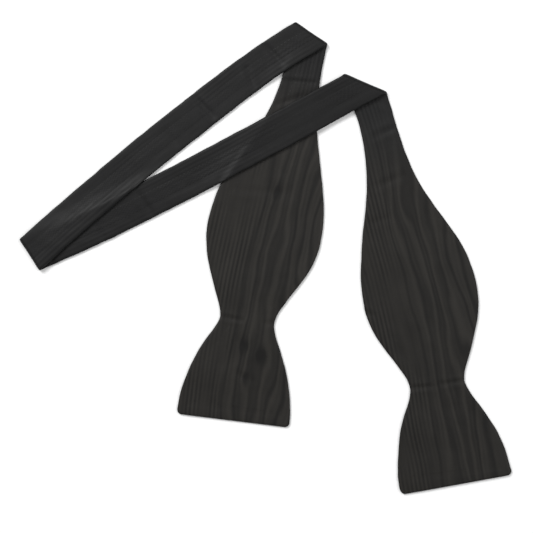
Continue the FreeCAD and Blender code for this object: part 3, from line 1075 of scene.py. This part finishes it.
# %% The cut's flat size, and fitting a piece
def cut_size(name, part):
    """(width, length, area) in metres of the flat cloth in one piece, its turned edges included."""
    rows = slice(*cut_rows(name)[part])
    widths = 2 * (np.abs(pattern[name][rows, np.argmin(RINGS[:, 0]), 0]) + TRAVEL[-1] - RINGS[-1, 0])
    steps = np.linalg.norm(np.diff(whole[name][rows, COLUMNS // 2], axis=0), axis=1)
    area = float((steps * (widths[1:] + widths[:-1]) / 2).sum())
    return float(widths.max()) * MM, max(float(steps.sum()), 10.1) * MM, area * 1e-6


def fit(obj, name, part, material):
    """Gives a piece its material and its body, in place of the CAD model's node of that name."""
    obj.data.materials.clear()
    obj.data.materials.append(material)
    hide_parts(name)
    hang_on(obj, part)
    pieces.append(name)


# %% Panels and interlinings
pieces = []
for panel, up in UPRIGHT.items():
    sides = (panel + " outside", panel + " inside")[::up]
    for part, rows in cut_rows(panel + " outside").items():
        name = f"{part}_{panel}_panel"
        obj = shell(name + "_silk", *sides, rows)
        fit(obj, name, part, FRONT_SILK if up > 0 else BACK_SILK)
        width, length, area = cut_size(panel + " outside", part)
for part, rows in cut_rows("interlining top").items():
    name = f"{part}_interlining"
    obj = shell(name + "_canvas", "interlining top", "interlining bottom", rows)
    fit(obj, name, part, CANVAS)
print(len(pieces), "pieces of cloth")

# %% [markdown]
# ## The sewing
#
# The panels are joined by a row of machine stitches hidden in the groove of the edge, and each half
# was closed by hand with slip stitches where it was turned right side out.  A stitch is one small
# shape repeated at a pitch along a line, which is what Geometry Nodes instances are for.


# %% The tree that sews
def stitch_tree():
    sizes = {"Pitch": 0.002, "Stitch Length": 0.0018, "Thread Radius": 0.0001}
    tree, given = new_tree("Stitches along a seam", [(k, "Float", v) for k, v in sizes.items()])
    seam = add(tree, "MeshToCurve", given["Geometry"])
    spaced = add(tree, "ResampleCurve", {"Curve": seam, "Length": given["Pitch"]}, mode="LENGTH")
    bead = add(tree, "MeshUVSphere", {"Segments": 6, "Rings": 5, "Radius": 1.0})
    half = add(tree, "Math:MULTIPLY", given["Stitch Length"], 0.5)
    size = add(tree, "CombineXYZ", given["Thread Radius"], given["Thread Radius"], half)
    stitch = add(tree, "Transform", {"Geometry": bead, "Scale": size})
    turn = add(tree, "AlignRotationToVector", {"Vector": add(tree, "InputTangent")}, axis="Z")
    placed = add(tree, "InstanceOnPoints", {"Points": spaced, "Instance": stitch, "Rotation": turn})
    return close_tree(tree, add(tree, "SetShadeSmooth", placed), given["Material"])


STITCHES = stitch_tree()


# %% A row of stitches
def sew(name, ending, part, paths, pitch, length, radius):
    """Makes a plain mesh of stitches along lines of points, in millimetres, and fits it."""
    points, edges = [], []
    for path in paths:
        edges += [(len(points) + i, len(points) + i + 1) for i in range(len(path) - 1)]
        points += (np.asarray(path) * MM).tolist()
    mesh = bpy.data.meshes.new(name + ending)
    mesh.from_pydata(points, edges, [])
    obj = new_object(name + ending, mesh)
    modifier = obj.modifiers.new("Stitches", "NODES")
    modifier.node_group = STITCHES
    for label, value in (("Pitch", pitch), ("Stitch Length", length), ("Thread Radius", radius)):
        set_input(modifier, label, value * MM)
    set_input(modifier, "Material", THREAD)
    plain = evaluated(obj)
    obj.modifiers.clear()
    obj.data = plain
    fit(obj, name, part, THREAD)
    print(name, round(sum(np.linalg.norm(np.diff(p, axis=0), axis=1).sum() for p in paths)), "mm")


# %% The seam round the edge
SEAM_RING, EDGE_RING = 3, 5
seam_line = (whole["front outside"] + whole["back outside"]) / 2


def seam_paths(part):
    """The seam's lines in one piece: both edges of a band, or all round a blade's tip."""
    low, high = cut_rows("front outside")[part]
    left, right = seam_line[low:high, SEAM_RING], seam_line[low:high, -1 - SEAM_RING]
    if part == "left_blade":
        tip = seam_line[SEAM_RING, SEAM_RING + 1 : -1 - SEAM_RING]
        return [np.concatenate([left[SEAM_RING:][::-1], tip, right[SEAM_RING:]])]
    if part == "right_blade":
        tip = seam_line[-1 - SEAM_RING, SEAM_RING + 1 : -1 - SEAM_RING]
        return [np.concatenate([left[:-SEAM_RING], tip, right[:-SEAM_RING][::-1]])]
    # Two rows short at each end, clear of the layer beneath when the fold opens.
    return [left[2:-2], right[2:-2]]


for part in BODY:
    sew(f"{part}_edge_seam_thread", "_stitches", part, seam_paths(part), 2.1, 1.9, 0.10)

# %% The closing and the centre back seam
CLOSINGS = {
    # band: (stretch, from, to, ring of the section)
    "left_band": (left_band, 47.0, 83.0, EDGE_RING),
    "right_band": (right_band, 72.0, 108.0, -1 - EDGE_RING),
}
for part, (stretch, low, high, ring) in CLOSINGS.items():
    rows = stretch_rows(stretch)
    take = first_row["front outside"][part] + np.flatnonzero((low <= rows) & (rows <= high))
    sew(f"{part}_closing_stitches", "_slipped", part, [seam_line[take, ring]], 4.0, 2.2, 0.13)
across_seam = seam_line[SEAM_ROW["front outside"], EDGE : EDGE + ACROSS]
sew("centre_back_seam_thread", "_stitches", "right_band", [across_seam], 2.1, 1.9, 0.12)

# %% [markdown]
# ## Table, light and camera
#
# The tie lies on a plain white table under a large soft light, seen from straight above through a
# long lens, so that nothing is foreshortened.

# %% The table
scene = bpy.context.scene
floor_mesh = bpy.data.meshes.new("table_top")
floor_mesh.from_pydata([(-3, -3, 0), (3, -3, 0), (3, 3, 0), (-3, 3, 0)], [], [(0, 1, 2, 3)])
floor = new_object("table_top", floor_mesh)
floor.location.z = -0.05 * MM
# Matt laminate, pressed smooth: white and even, with no mirror image of the tie.
laminate, tree = new_material("matt_white_laminate")
settings = {"Base Color": dye("#f4f4f4"), "Roughness": 0.9, "IOR": 1.45}
floor_mesh.materials.append(finish_material(laminate, tree, settings))


# %% Soft lamps
def softbox(name, place, size, power):
    """A round soft lamp that looks at the middle of the tie."""
    data = bpy.data.lights.new(name, "AREA")
    data.shape, data.size, data.energy = "DISK", size, power
    light = new_object(name, data)
    light.location = place
    light.rotation_euler = (-Vector(place)).to_track_quat("-Z", "Y").to_euler()
    return light


lamps = [
    softbox("key_softbox", (-0.8, 0.9, 1.5), 1.0, 27),
    softbox("fill_softbox", (0.9, 0.2, 1.6), 1.4, 11),
]
world = bpy.data.worlds.new("pale_studio")
world.use_nodes = True
background = world.node_tree.nodes["Background"].inputs
background["Color"].default_value = (1, 1, 1, 1)
background["Strength"].default_value = 0.45
scene.world = world

# %% The camera
CAMERA_HEIGHT, SEEN_WIDTH = 0.9, 0.3145
camera_data = bpy.data.cameras.new("camera")
camera_data.sensor_width = 36
camera_data.lens = camera_data.sensor_width * CAMERA_HEIGHT / SEEN_WIDTH
camera = new_object("camera", camera_data)
camera.location = (0.0021, -0.0037, CAMERA_HEIGHT)
scene.camera = camera
print("lens", round(camera_data.lens), "mm, from", CAMERA_HEIGHT, "m")
scene.view_settings.view_transform = "Standard"
